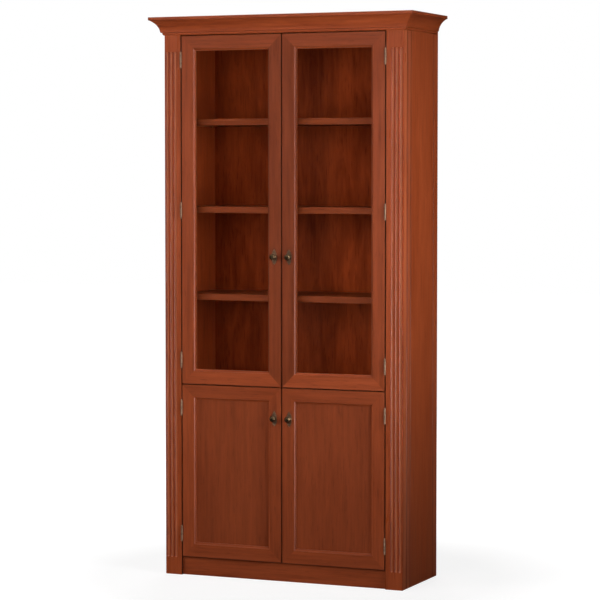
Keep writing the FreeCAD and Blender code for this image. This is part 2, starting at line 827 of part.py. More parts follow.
doc.recompute()
for item in doc.Objects:
    if {"Invalid", "Error"} & set(item.State):
        raise RuntimeError(f"{item.Label}: {item.State}")
for node in nodes:
    if node.Shape.isNull() or not node.Shape.isValid() or not node.Shape.Solids:
        raise RuntimeError(f"{node.Label}: bad shape")

os.makedirs("parts", exist_ok=True)
for node in nodes:
    node.Shape.exportStep(f"parts/{node.Label}.step")
    box = node.Shape.BoundBox
    print(
        f"{node.Label:28} {len(node.Shape.Solids):3} solids {node.Shape.Volume / 1000:10.1f} cm3"
        f"  x {box.XMin:8.1f} {box.XMax:8.1f}  y {box.YMin:8.1f} {box.YMax:8.1f}"
        f"  z {box.ZMin:8.1f} {box.ZMax:8.1f}"
    )
print(len(nodes), "nodes")
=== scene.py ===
from math import acos, cos, pi, radians, sin

import bmesh
import bpy
from mathutils import Matrix, Vector


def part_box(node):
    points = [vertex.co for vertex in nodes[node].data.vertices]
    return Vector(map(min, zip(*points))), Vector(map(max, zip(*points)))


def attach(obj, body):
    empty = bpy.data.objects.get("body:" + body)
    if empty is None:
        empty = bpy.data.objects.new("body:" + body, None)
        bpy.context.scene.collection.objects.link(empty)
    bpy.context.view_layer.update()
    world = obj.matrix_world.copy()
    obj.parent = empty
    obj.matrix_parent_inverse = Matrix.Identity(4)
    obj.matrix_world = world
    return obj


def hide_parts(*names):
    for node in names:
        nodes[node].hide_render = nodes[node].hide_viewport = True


# A tall bookcase: two glazed doors over two panelled ones, fluted pilasters and a cove cornice.
# The pieces made with the case come in here at their real size, and each is finished below.
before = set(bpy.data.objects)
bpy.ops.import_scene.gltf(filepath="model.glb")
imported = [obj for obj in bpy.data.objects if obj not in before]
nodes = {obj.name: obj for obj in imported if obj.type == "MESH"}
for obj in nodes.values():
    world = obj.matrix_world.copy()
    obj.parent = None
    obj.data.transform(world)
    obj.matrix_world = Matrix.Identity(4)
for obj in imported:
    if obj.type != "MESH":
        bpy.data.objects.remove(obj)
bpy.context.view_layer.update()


# The view: from in front and to the right, at the eye level of someone who stands. The lens is
# long, so the uprights stay nearly parallel.
lens = bpy.data.cameras.new("viewpoint")
lens.lens = 144.355
lens.clip_start, lens.clip_end = 0.1, 100
viewpoint = bpy.data.objects.new("viewpoint", lens)
viewpoint.location = (3.6341, -8.4182, 1.5619)
viewpoint.rotation_euler = (radians(86.86), 0, radians(23.32))
bpy.context.collection.objects.link(viewpoint)
bpy.context.scene.camera = viewpoint
bpy.context.scene.view_settings.view_transform = "Standard"


# The room: a pale floor that runs out of sight into white walls. Both are white to the eye, but
# for a painted shadow on the floor round the object, where it glows less. Both are dimmer for
# what they light or what mirrors them, as in a studio with screens round the object.
def feed(tree, socket, value):
    """Sets a socket to a value, or links it to the socket that the value comes from."""
    if isinstance(value, bpy.types.NodeSocket):
        tree.links.new(value, socket)
    else:
        socket.default_value = value


def add(tree, kind, *sources, **settings):
    """Adds a node. Settings in lower case are its properties and the others its inputs, and sources
    go to its first inputs in turn. A source is a value, or the socket that it comes from."""
    node = tree.nodes.new(kind)
    for name, value in settings.items():
        if name[0].islower():
            setattr(node, name, value)
    for socket, value in zip(node.inputs, sources):
        feed(tree, socket, value)
    for name, value in settings.items():
        if name[0].isupper():
            feed(tree, node.inputs[name.replace("_", " ")], value)
    return node


def calc(tree, how, first, second=0.0):
    """The result of one sum or comparison."""
    return add(tree, "ShaderNodeMath", first, second, operation=how).outputs[0]


def ramp(tree, value, start, end, low=0.0, high=1.0):
    """Low where the value is at its start or below, high at its end or above, and even between."""
    return add(tree, "ShaderNodeMapRange", value, start, end, low, high).outputs[0]


def grey(brightness):
    """A colour without hue, from black at 0 to white at 1."""
    return (brightness, brightness, brightness, 1)


def new_material(name):
    """An empty material, and its node tree and output."""
    material = bpy.data.materials.new(name)
    material.use_nodes = True
    tree = material.node_tree
    tree.nodes.clear()
    return material, tree, tree.nodes.new("ShaderNodeOutputMaterial")


def looked_at(tree):
    """1 where the eye looks, also through a pane, and 0 for what only lights or is mirrored."""
    rays = add(tree, "ShaderNodeLightPath").outputs
    unmirrored = calc(tree, "LESS_THAN", rays["Glossy Depth"], 0.5)
    through_pane = calc(tree, "MULTIPLY", rays["Is Transmission Ray"], unmirrored)
    return calc(tree, "MAXIMUM", rays["Is Camera Ray"], through_pane)


FLOOR_SIZE = 40
# Painted shadow: the floor glows at 0.8 of full within 0.75 m of the object, and fully past 1.35 m.
PAINTED_SHADOW_START, PAINTED_SHADOW_END, PAINTED_SHADOW_GLOW = 0.75, 1.35, 0.80
corner = FLOOR_SIZE / 2
floor_mesh = bpy.data.meshes.new("floor")
floor_mesh.from_pydata(
    [(-corner, -corner, 0), (corner, -corner, 0), (corner, corner, 0), (-corner, corner, 0)],
    [],
    [(0, 1, 2, 3)],
)
floor = bpy.data.objects.new("floor", floor_mesh)
bpy.context.collection.objects.link(floor)
floor_paint, tree, output = new_material("floor_paint")
place = add(tree, "ShaderNodeTexCoord").outputs["Object"]
distance = add(tree, "ShaderNodeVectorMath", place, operation="LENGTH").outputs["Value"]
glow = ramp(tree, distance, PAINTED_SHADOW_START, PAINTED_SHADOW_END, PAINTED_SHADOW_GLOW, 1.0)
bright = add(tree, "ShaderNodeEmission", Color=grey(1), Strength=glow)
matt = add(tree, "ShaderNodeBsdfDiffuse", Color=grey(0.3))
pale = add(tree, "ShaderNodeAddShader", bright.outputs[0], matt.outputs[0])
dim = add(tree, "ShaderNodeBsdfDiffuse", Color=grey(0.16))
mirrored = add(tree, "ShaderNodeBsdfDiffuse", Color=grey(0.03))
glossy = add(tree, "ShaderNodeLightPath").outputs["Is Glossy Ray"]
unseen = add(tree, "ShaderNodeMixShader", glossy, dim.outputs[0], mirrored.outputs[0])
shown = add(tree, "ShaderNodeMixShader", looked_at(tree), unseen.outputs[0], pale.outputs[0])
tree.links.new(shown.outputs[0], output.inputs["Surface"])
floor_mesh.materials.append(floor_paint)

CEILING_START, CEILING_END, CEILING_GLOW = 0.1, 0.7, 0.3
world = bpy.data.worlds.new("white_room")
bpy.context.scene.world = world
world.use_nodes = True
tree = world.node_tree
tree.nodes.clear()
output = tree.nodes.new("ShaderNodeOutputWorld")
walls = add(tree, "ShaderNodeBackground", Color=grey(1), Strength=1.0)
way = add(tree, "ShaderNodeTexCoord").outputs["Generated"]
height = add(tree, "ShaderNodeSeparateXYZ", way).outputs["Z"]
glow = ramp(tree, height, CEILING_START, CEILING_END, 0.0, CEILING_GLOW)
ceiling = add(tree, "ShaderNodeBackground", Color=grey(1), Strength=glow)
dusk = add(tree, "ShaderNodeBackground", Color=grey(1), Strength=0.05)
diffuse = add(tree, "ShaderNodeLightPath").outputs["Is Diffuse Ray"]
lit = add(tree, "ShaderNodeMixShader", diffuse, ceiling.outputs[0], dusk.outputs[0])
shown = add(tree, "ShaderNodeMixShader", looked_at(tree), lit.outputs[0], walls.outputs[0])
tree.links.new(shown.outputs[0], output.inputs["Surface"])


# The lights: large soft panels. Those in front aren't mirrored in lacquer, glass or brass, and the
# two screens are only mirrored: they draw the lines of light on mouldings and knobs.
def light_panel(name, place, aim, width, height, power, spread=180, mirrored=True, lights=True):
    """A soft light: a panel at a place, in metres, that shines at a point with so many watts."""
    panel = bpy.data.lights.new(name, "AREA")
    panel.shape = "RECTANGLE"
    panel.size, panel.size_y = width, height
    panel.energy = power
    panel.spread = radians(spread)
    light = bpy.data.objects.new(name, panel)
    way = Vector(aim) - Vector(place)
    light.matrix_world = Matrix.Translation(place) @ way.to_track_quat("-Z", "Y").to_matrix().to_4x4()
    light.visible_glossy = light.visible_transmission = mirrored
    light.visible_diffuse = lights
    bpy.context.collection.objects.link(light)
    return light


light_panel(
    "front_panel", place=(-0.1, -3.8, 1.9), aim=(0, 0, 1.6), width=1.3, height=2.2, power=21,
    spread=110, mirrored=False,
)
light_panel(
    "right_panel", place=(3.0, -1.2, 1.45), aim=(0, -0.2, 1.45), width=1.6, height=1.4, power=22,
    spread=70, mirrored=False,
)
light_panel(
    "left_panel", place=(-3.2, -3.5, 2.0), aim=(0, 0, 1.7), width=2.4, height=2.4, power=88,
    mirrored=False,
)
light_panel("back_light", place=(-1.5, 4.5, 3.0), aim=(0, 0, 1.0), width=2.4, height=2.4, power=90)
light_panel(
    "high_screen", place=(2.4, -1.8, 3.0), aim=(0, -0.2, 1.2), width=0.8, height=0.8, power=45,
    lights=False,
)
low_screen = light_panel(
    "low_screen", place=(3.6, -1.9, 0.5), aim=(0, 0, 0.4), width=1.4, height=0.9, power=45,
    lights=False,
)


# The wood is cherry, stained red-brown and lacquered: straight grain in soft streaks, fine fibres
# and short dark flecks along it, and broad patches where the stain has taken more or less.
def shader_group(name, inputs, outputs):
    """An empty shader group, with the sockets that it is given through and gives out."""
    tree = bpy.data.node_groups.new(name, "ShaderNodeTree")
    for way, sockets in (("INPUT", inputs), ("OUTPUT", outputs)):
        for socket, kind in sockets.items():
            tree.interface.new_socket(socket, in_out=way, socket_type="NodeSocket" + kind)
    return tree, tree.nodes.new("NodeGroupInput").outputs, tree.nodes.new("NodeGroupOutput").inputs


def blend(tree, share, first, second):
    """The first colour where the share is 0, and the second where it is 1."""
    mix = add(tree, "ShaderNodeMix", share, data_type="RGBA")
    first_colour, second_colour, mixed_colour = mix.inputs[6], mix.inputs[7], mix.outputs[2]
    feed(tree, first_colour, first)
    feed(tree, second_colour, second)
    return mixed_colour


def straight_grain():
    """The colour, gloss and height of planed, straight-grained wood whose grain runs along Z."""
    tree, given, result = shader_group(
        "straight_grain",
        {
            "Position": "Vector",
            "Dark": "Color",
            "Light": "Color",
            "Streaks": "Float",
            "Patches": "Float",
            "Figure": "Float",
            "Flecks": "Float",
            "Gloss": "Float",
        },
        {"Color": "Color", "Roughness": "Float", "Height": "Float"},
    )
    fleck_start, fleck_full = 0.13, 0.2
    fibre_share, fibre_height, pit_depth, dullest = 0.35, 0.5, 0.4, 0.16

    def drawn_out(stretch, per_metre, detail, distortion=0.0):
        """Noise drawn out along the grain, 0 on average."""
        squeeze = (1, 1, 1 / stretch)
        along = add(tree, "ShaderNodeVectorMath", given["Position"], squeeze, operation="MULTIPLY")
        noise = add(
            tree,
            "ShaderNodeTexNoise",
            Vector=along.outputs[0],
            Scale=per_metre,
            Detail=detail,
            Roughness=0.55,
            Distortion=distortion,
        )
        return calc(tree, "SUBTRACT", noise.outputs["Fac"], 0.5)

    patches = drawn_out(stretch=4, per_metre=7, detail=2)
    figure = drawn_out(stretch=5, per_metre=24, detail=4, distortion=1.2)
    streaks = drawn_out(stretch=22, per_metre=85, detail=3)
    fibres = drawn_out(stretch=40, per_metre=420, detail=2)
    flecks = ramp(tree, drawn_out(stretch=14, per_metre=260, detail=1), fleck_start, fleck_full)
    patches = calc(tree, "MULTIPLY", patches, given["Patches"])
    figure = calc(tree, "MULTIPLY", figure, given["Figure"])
    streaks = calc(tree, "MULTIPLY", streaks, given["Streaks"])
    broad = calc(tree, "ADD", patches, figure)
    fine = calc(tree, "ADD", streaks, calc(tree, "MULTIPLY", fibres, fibre_share))
    tone = calc(tree, "ADD", 0.5, calc(tree, "ADD", broad, fine))
    tone = calc(tree, "SUBTRACT", tone, calc(tree, "MULTIPLY", flecks, given["Flecks"]))
    tree.links.new(blend(tree, tone, given["Dark"], given["Light"]), result["Color"])
    dull = calc(tree, "MULTIPLY", drawn_out(stretch=12, per_metre=60, detail=2), dullest)
    tree.links.new(calc(tree, "ADD", given["Gloss"], dull), result["Roughness"])
    pits = calc(tree, "MULTIPLY", flecks, pit_depth)
    height = calc(tree, "SUBTRACT", calc(tree, "MULTIPLY", fibres, fibre_height), pits)
    tree.links.new(height, result["Height"])
    return tree


def dress(name, material):
    """Gives a piece that was made with the case its finish."""
    piece = nodes[name].data
    piece.materials.clear()
    piece.materials.append(material)


GRAIN = straight_grain()
GRAIN_TURN = {"upright": (0, 0, 0), "across": (0, pi / 2, 0), "deep": (pi / 2, 0, 0)}
BOARD_SHIFT = (0.37, 0.61, 1.3)
CHERRY_DARK = (0.135, 0.0205, 0.0047)
CHERRY_LIGHT = (0.334, 0.0672, 0.0199)
# The near-black of glaze, and of the shade that is painted into gaps and grooves.
GLAZE_AND_SHADE = (0.020, 0.0040, 0.0012)


def cherry(
    name, along, board, tone=1.0, streaks=1.0, patches=0.5, figure=0.35, flecks=0.25,
    gloss=0.34, sheen=0.5, warmth=1.0, light_and_wear=None, sizes=None,
):
    """Finishes a piece in stained cherry with its grain along the board. Each board number gives
    another figure. The group of light and wear that it may be given says where the wood is darkened,
    by painted shade in gaps and by glaze and painted shade in grooves, and what cast it has where
    highlights and their shaded edges are painted on, and sizes are its inputs."""
    material, tree, output = new_material("cherry_" + name)
    place = add(tree, "ShaderNodeTexCoord").outputs["Object"]
    turned = add(
        tree,
        "ShaderNodeMapping",
        Vector=place,
        Rotation=GRAIN_TURN[along],
        Location=[board * shift for shift in BOARD_SHIFT],
    )
    cast = (tone, tone / warmth, tone / warmth**2)
    grain = add(
        tree,
        "ShaderNodeGroup",
        node_tree=GRAIN,
        Position=turned.outputs[0],
        Dark=(*(c * k for c, k in zip(CHERRY_DARK, cast)), 1),
        Light=(*(c * k for c, k in zip(CHERRY_LIGHT, cast)), 1),
        Streaks=streaks,
        Patches=patches,
        Figure=figure,
        Flecks=flecks,
        Gloss=gloss,
    )
    colour = grain.outputs["Color"]
    # Painted light: the mask darkens the wood with painted shade, and with glaze in grooves, and the
    # cast paints highlights and their shaded edges.
    if light_and_wear:
        marked = add(tree, "ShaderNodeGroup", node_tree=light_and_wear, Position=place, **sizes).outputs
        if "Cast" in marked:
            highlighted = add(tree, "ShaderNodeVectorMath", colour, marked["Cast"], operation="MULTIPLY")
            colour = highlighted.outputs[0]
        colour = blend(tree, marked["Undarkened"], (*GLAZE_AND_SHADE, 1), colour)
    relief = add(tree, "ShaderNodeBump", Strength=0.12, Distance=0.0006, Height=grain.outputs["Height"])
    lacquer = add(
        tree,
        "ShaderNodeBsdfPrincipled",
        Base_Color=colour,
        Roughness=grain.outputs["Roughness"],
        Normal=relief.outputs["Normal"],
        Specular_IOR_Level=sheen,
    )
    tree.links.new(lacquer.outputs[0], output.inputs["Surface"])
    dress(name, material)


# Sides: an outer panel on each side, with a V-joint to the pilaster and two V-grooves that set off
# a middle field. The grooves are darkened, partly by glaze and partly by painted shade, and a
# highlight is painted pale down the front strip, with painted shade towards its edges. Solid
# cherry boards, glued edge to edge.
WEAR_AND_LIGHT = {"Undarkened": "Float", "Cast": "Color"}
GROOVE_GLAZE_AND_SHADE = (0.0007, 0.0023)
SIDE_HIGHLIGHT_AND_SHADE = {"bed": 0.003, "edge": 0.014, "pale": (1.2, 1.5, 2.0), "dark": (0.88, 0.82, 0.76)}
GROOVES = {"V_Joint": -0.122, "First_Groove": -0.084, "Last_Groove": 0.158}


def between(tree, value, low, high):
    """1 where the value lies between two others."""
    above = calc(tree, "GREATER_THAN", value, low)
    return calc(tree, "MULTIPLY", above, calc(tree, "LESS_THAN", value, high))


def off_middle(tree, value, low, high):
    """How far the value lies from the middle between two others."""
    middle = calc(tree, "MULTIPLY", calc(tree, "ADD", low, high), 0.5)
    return calc(tree, "ABSOLUTE", calc(tree, "SUBTRACT", value, middle))


def undarkened_beyond(tree, gap, reach):
    """0 up to the first reach from an edge, where painted shade or glaze darkens the wood, and 1 past
    the second.
    """
    return ramp(tree, gap, *reach)


def painted_highlight_cast(tree, where, from_middle, bed, edge, pale, dark):
    """The cast of a strip with a highlight painted pale along its middle and painted shade from its
    edge on, and none outside the strip."""
    across_strip = blend(tree, ramp(tree, from_middle, bed, edge), (*pale, 1), (*dark, 1))
    return blend(tree, where, (1, 1, 1, 1), across_strip)


def side_glaze_and_light():
    """A side's glaze and painted light: glaze and painted shade in its three grooves, and a painted
    highlight down its front strip.
    """
    tree, given, result = shader_group(
        "side_glaze_and_light",
        {"Position": "Vector", "V Joint": "Float", "First Groove": "Float", "Last Groove": "Float"},
        WEAR_AND_LIGHT,
    )
    depth = add(tree, "ShaderNodeSeparateXYZ", given["Position"]).outputs["Y"]
    from_joint, from_first, from_last = (
        calc(tree, "ABSOLUTE", calc(tree, "SUBTRACT", depth, given[groove]))
        for groove in ("V Joint", "First Groove", "Last Groove")
    )
    nearest = calc(tree, "MINIMUM", from_joint, calc(tree, "MINIMUM", from_first, from_last))
    tree.links.new(undarkened_beyond(tree, nearest, GROOVE_GLAZE_AND_SHADE), result["Undarkened"])
    strip = between(tree, depth, given["V Joint"], given["First Groove"])
    from_middle = off_middle(tree, depth, given["V Joint"], given["First Groove"])
    tree.links.new(painted_highlight_cast(tree, strip, from_middle, **SIDE_HIGHLIGHT_AND_SHADE), result["Cast"])
    return tree


SIDE_LIGHT_AND_GLAZE = side_glaze_and_light()
for board, name in enumerate(("left_side_panel", "right_side_panel")):
    cherry(name, "upright", board, tone=0.98, sheen=0.35, light_and_wear=SIDE_LIGHT_AND_GLAZE, sizes=GROOVES)

# Inner sides: they line the cupboard behind the pilasters, and stand off the outer sides on sawn
# softwood battens. Cherry like the rest, but only thinly lacquered.
# Painted light: the left inner side, which is seen through the glass, is set lighter than the right.
cherry("left_inner_panel", "upright", 3, tone=1.18, sheen=0.15, warmth=1.25)
cherry("right_inner_panel", "upright", 4, tone=1.0, sheen=0.15, warmth=1.25)

softwood, tree, output = new_material("sawn_softwood")
grain = add(
    tree,
    "ShaderNodeGroup",
    node_tree=GRAIN,
    Position=add(tree, "ShaderNodeTexCoord").outputs["Object"],
    Dark=(0.50, 0.31, 0.15, 1),
    Light=(0.74, 0.55, 0.32, 1),
    Streaks=1.4,
    Patches=0.4,
    Figure=0.3,
    Flecks=0.1,
    Gloss=0.7,
)
sawn = add(tree, "ShaderNodeBump", Strength=0.5, Distance=0.0008, Height=grain.outputs["Height"])
batten = add(
    tree,
    "ShaderNodeBsdfPrincipled",
    Base_Color=grain.outputs["Color"],
    Roughness=grain.outputs["Roughness"],
    Normal=sawn.outputs["Normal"],
)
tree.links.new(batten.outputs[0], output.inputs["Surface"])
dress("side_spacer_battens", softwood)

# Pilasters: solid posts at the front corners with three stopped flutes each, cut with a round-nosed
# cutter. They stand flush with the doors. Shade is painted dark along their edges at the door gaps,
# and glaze and painted shade darken the V-joint. A highlight is painted pale down the bed of each
# flute, with painted shade at the flute's edges, and another down the middle of the side.
POST_SHADE_AND_GLAZE = (0.0003, 0.0016)
GAP_SHADE_DEPTH = (0.008, 0.011)
FLANK_INSET = 0.0015
FLUTED_PITCHES = 2.4
FLUTE_HIGHLIGHT_AND_SHADE = {"bed": 0.0016, "edge": 0.0050, "pale": (1.7, 2.6, 4.0), "dark": (0.78, 0.62, 0.50)}
FLANK_HIGHLIGHT_AND_SHADE = {"bed": 0.004, "edge": 0.015, "pale": (1.2, 1.6, 2.2), "dark": (0.84, 0.74, 0.66)}


def post_light_and_glaze():
    """A pilaster's painted light and glaze: painted highlights down the beds of its flutes and down
    its side, with painted shade at their edges, painted shade at the door gap, and glaze and painted
    shade at the V-joint.
    """
    tree, given, result = shader_group(
        "post_light_and_glaze",
        {
            "Position": "Vector",
            "Inner Edge": "Float",
            "Outer Edge": "Float",
            "Front": "Float",
            "V Joint": "Float",
            "First Flute": "Float",
            "Flute Pitch": "Float",
            "Flute Foot": "Float",
            "Flute Head": "Float",
        },
        WEAR_AND_LIGHT,
    )
    across, depth, height = add(tree, "ShaderNodeSeparateXYZ", given["Position"]).outputs
    across = calc(tree, "ABSOLUTE", across)
    from_gap = calc(tree, "SUBTRACT", across, given["Inner Edge"])
    from_front = calc(tree, "SUBTRACT", depth, given["Front"])
    from_joint = calc(tree, "SUBTRACT", given["V Joint"], depth)
    at_gap = undarkened_beyond(tree, from_gap, POST_SHADE_AND_GLAZE)
    at_gap = calc(tree, "MAXIMUM", at_gap, undarkened_beyond(tree, from_front, GAP_SHADE_DEPTH))
    at_joint = undarkened_beyond(tree, from_joint, POST_SHADE_AND_GLAZE)
    tree.links.new(calc(tree, "MINIMUM", at_gap, at_joint), result["Undarkened"])
    inset = calc(tree, "SUBTRACT", given["Outer Edge"], across)
    from_first = calc(tree, "SUBTRACT", inset, given["First Flute"])
    half_pitch = calc(tree, "MULTIPLY", given["Flute Pitch"], 0.5)
    from_bed = calc(tree, "PINGPONG", from_first, half_pitch)
    fluted_width = calc(tree, "MULTIPLY", given["Flute Pitch"], FLUTED_PITCHES)
    last = calc(tree, "ADD", given["First Flute"], fluted_width)
    run = between(tree, height, given["Flute Foot"], given["Flute Head"])
    fluted = calc(tree, "MULTIPLY", between(tree, inset, FLANK_INSET, last), run)
    beds = painted_highlight_cast(tree, fluted, from_bed, **FLUTE_HIGHLIGHT_AND_SHADE)
    flank = calc(tree, "LESS_THAN", inset, FLANK_INSET)
    from_middle = off_middle(tree, depth, given["Front"], given["V Joint"])
    line = painted_highlight_cast(tree, flank, from_middle, **FLANK_HIGHLIGHT_AND_SHADE)
    cast = add(tree, "ShaderNodeVectorMath", beds, line, operation="MULTIPLY")
    tree.links.new(cast.outputs[0], result["Cast"])
    return tree


POST_LIGHT_AND_GLAZE = post_light_and_glaze()
low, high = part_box("right_pilaster")
POST_SIZES = {
    "Inner_Edge": low[0],
    "Outer_Edge": high[0],
    "Front": low[1],
    "V_Joint": high[1],
    "First_Flute": 0.010,
    "Flute_Pitch": 0.0165,
    "Flute_Foot": 0.066,
    "Flute_Head": high[2] - 0.063,
}
for board, name in enumerate(("left_pilaster", "right_pilaster")):
    cherry(
        name, "upright", 5 + board, tone=1.2, gloss=0.30, sheen=0.4, light_and_wear=POST_LIGHT_AND_GLAZE, sizes=POST_SIZES
    )

# Deck, bottom, top, plinth rail and head rail: boards across the case. Deck and bottom lie between
# the inner sides, and reach forward between the pilasters to just behind the doors. The top is
# left unpolished. The shelves lie on pins, and have eased front edges.
for board, name in enumerate(("fixed_shelf", "bottom_panel", "plinth_rail", "head_rail")):
    cherry(name, "across", 10 + board, tone=1.08)
cherry("top_panel", "across", 14, tone=1.0, gloss=0.62, sheen=0.2)
for board, name in enumerate(("upper_shelf_1", "upper_shelf_2", "upper_shelf_3", "lower_shelf")):
    cherry(name, "across", 15 + board, tone=0.82, sheen=0.3, warmth=1.1)

# Back: a veneered board let in between the outer sides, and screwed to the inner sides, bottom,
# deck and top. Its veneer is livelier than the solid wood, and hardly lacquered.
cherry(
    "back_panel", "upright", 20, tone=0.97, streaks=0.6, patches=1.7, figure=1.3, flecks=0.4,
    sheen=0.05, warmth=1.35,
)

# Cornice: three lengths of one solid moulding, a bead under a deep cove, mitred at the front
# corners. The front one is glued to the head rail, and the others run back along the sides.
# Painted light and shade: the front length is set lighter than the two side lengths.
cherry("cornice_front", "across", 29, tone=1.2, patches=1.3)
cherry("cornice_left", "deep", 22, tone=0.9)
cherry("cornice_right", "deep", 23, tone=0.86, sheen=0.25)

# Doors: stiles and rails with a moulded inner edge, mitred at the corners. Each board is of its own
# tone, and the edges of the doors are painted dark with shade near their fronts, where the gaps
# are. The lower doors hold a flat veneered panel, and the upper ones beads that press the glass
# into its rebate.
# On the upper doors the tones also paint light and shade: the meeting stiles darker, the bottom rails
# lighter.
MEMBER_TONES = {
    "upper": {"hinge_stile": 1.04, "meeting_stile": 0.71, "bottom_rail": 1.20, "top_rail": 0.91},
    "lower": {"hinge_stile": 1.10, "meeting_stile": 0.94, "bottom_rail": 1.01, "top_rail": 0.99},
}
PANEL_TONES = {"left": 0.84, "right": 0.90}
BEAD_TONE = 0.9
RIM_SHADE = (0.0003, 0.0015)
DOORS = [f"{level}_{hand}_" for level in ("upper", "lower") for hand in ("left", "right")]
SIDE_OF = {door: 1 if "right" in door else -1 for door in DOORS}
DOOR_BOARDS = range(30, 54, 6)


def door_rim_shade():
    """Painted shade along the front of a door's rim, where the gaps are, measured from the door's box.
    """
    tree, given, result = shader_group(
        "door_rim_shade", {"Position": "Vector", "Low": "Vector", "High": "Vector"}, {"Undarkened": "Float"}
    )
    from_low = add(tree, "ShaderNodeVectorMath", given["Position"], given["Low"], operation="SUBTRACT")
    to_high = add(tree, "ShaderNodeVectorMath", given["High"], given["Position"], operation="SUBTRACT")
    least = add(
        tree, "ShaderNodeVectorMath", from_low.outputs[0], to_high.outputs[0], operation="MINIMUM"
    )
    across, _, upright = add(tree, "ShaderNodeSeparateXYZ", least.outputs[0]).outputs
    from_rim = calc(tree, "MINIMUM", across, upright)
    from_front = add(tree, "ShaderNodeSeparateXYZ", from_low.outputs[0]).outputs["Y"]
    at_rim = undarkened_beyond(tree, from_rim, RIM_SHADE)
    behind = undarkened_beyond(tree, from_front, GAP_SHADE_DEPTH)
    tree.links.new(calc(tree, "MAXIMUM", at_rim, behind), result["Undarkened"])
    return tree


DOOR_RIM_SHADE = door_rim_shade()
for door, first_board in zip(DOORS, DOOR_BOARDS):
    level, hand, _ = door.split("_")
    corners = [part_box(door + member) for member in MEMBER_TONES[level]]
    rim = {
        "Low": Vector([min(low[axis] for low, high in corners) for axis in range(3)]),
        "High": Vector([max(high[axis] for low, high in corners) for axis in range(3)]),
    }
    for board, (member, tone) in enumerate(MEMBER_TONES[level].items(), first_board):
        along = "upright" if "stile" in member else "across"
        cherry(door + member, along, board, tone=tone, light_and_wear=DOOR_RIM_SHADE, sizes=rim)
    filling = first_board + 4
    if level == "lower":
        cherry(
            door + "panel", "upright", filling, tone=PANEL_TONES[hand], streaks=0.7, patches=0.8,
            figure=0.5,
        )
    else:
        cherry(door + "glass_beads", "upright", filling, tone=BEAD_TONE)

# Panes: clear float glass, 3 mm thick, held in the rebates of the upper doors. The low screen is
# kept off them, because it would stand in them as a white block when they are seen from the left.
glass, tree, output = new_material("clear_glass")
pane = add(
    tree,
    "ShaderNodeBsdfPrincipled",
    Base_Color=(0.94, 0.97, 0.96, 1),
    Roughness=0.0,
    IOR=1.45,
    Transmission_Weight=1.0,
    Specular_IOR_Level=0.25,
)
through = add(tree, "ShaderNodeBsdfTransparent", Color=(0.92, 0.95, 0.94, 1))
shadow = add(tree, "ShaderNodeLightPath").outputs["Is Shadow Ray"]
shown = add(tree, "ShaderNodeMixShader", shadow, pane.outputs[0], through.outputs[0])
tree.links.new(shown.outputs[0], output.inputs["Surface"])
panes = bpy.data.collections.new("panes")
low_screen.light_linking.receiver_collection = panes
for hand in ("left", "right"):
    dress(f"upper_{hand}_glass_pane", glass)
    panes.objects.link(nodes[f"upper_{hand}_glass_pane"])
for member in panes.collection_objects:
    member.light_linking.link_state = "EXCLUDE"


# Hinge leaves: butt hinges rolled from brass sheet, two knuckles on the case's leaf and one on the
# door's. The leaves lie in the gap and are screwed to the edges of door and post. The brass has
# dulled in clouds and small spots, and is paler than that of the knobs.
def tarnish():
    """Where metal is still clean, and how rough that leaves it."""
    tree, given, result = shader_group(
        "tarnish",
        {"Position": "Vector", "Amount": "Float", "Dull Roughness": "Float", "Clean Roughness": "Float"},
        {"Clean": "Float", "Roughness": "Float"},
    )
    speck_share, softness = 0.4, 0.15
    clouds = add(tree, "ShaderNodeTexNoise", Vector=given["Position"], Scale=90, Detail=3, Roughness=0.6)
    specks = add(tree, "ShaderNodeTexNoise", Vector=given["Position"], Scale=700, Detail=1)
    speckle = calc(tree, "SUBTRACT", specks.outputs["Fac"], 0.5)
    speckle = calc(tree, "MULTIPLY", speckle, speck_share)
    mixed = calc(tree, "ADD", clouds.outputs["Fac"], speckle)
    dull_below = calc(tree, "SUBTRACT", given["Amount"], softness)
    clean_above = calc(tree, "ADD", given["Amount"], softness)
    clean = ramp(tree, mixed, dull_below, clean_above)
    rough = ramp(tree, clean, 0.0, 1.0, given["Dull Roughness"], given["Clean Roughness"])
    tree.links.new(clean, result["Clean"])
    tree.links.new(rough, result["Roughness"])
    return tree


TARNISH = tarnish()


def metal(name, clean, dull, amount=0.5, bare=(0.55, 1.0), gloss=(0.52, 0.30)):
    """A metal that has dulled in spots, with its colours where it is clean and where it is dull.
    Bare and gloss say how free of oxide and how rough it is, first where dull, then where clean."""
    material, tree, output = new_material(name)
    spots = add(
        tree,
        "ShaderNodeGroup",
        node_tree=TARNISH,
        Position=add(tree, "ShaderNodeTexCoord").outputs["Object"],
        Amount=amount,
        Dull_Roughness=gloss[0],
        Clean_Roughness=gloss[1],
    ).outputs
    surface = add(
        tree,
        "ShaderNodeBsdfPrincipled",
        Base_Color=blend(tree, spots["Clean"], (*dull, 1), (*clean, 1)),
        Metallic=ramp(tree, spots["Clean"], 0.0, 1.0, *bare),
        Roughness=spots["Roughness"],
    )
    tree.links.new(surface.outputs[0], output.inputs["Surface"])
    return material


pale_brass = metal(
    "rubbed_brass", clean=(0.38, 0.25, 0.165), dull=(0.22, 0.13, 0.08), bare=(0.25, 0.75)
)
dress("frame_hinge_leaves", pale_brass)
for door in DOORS:
    dress(door + "hinge_leaves", pale_brass)

# Shelf pins and knob plates: antiqued brass, turned for the pins, which are pushed into rows of
# bored holes in the inner sides, and pressed from sheet for the pointed plates under the knobs.
brass = metal("antique_brass", clean=(0.52, 0.33, 0.20), dull=(0.17, 0.095, 0.055))
dress("shelf_pins", brass)
for door in DOORS:
    dress(door + "knob_plate", brass)

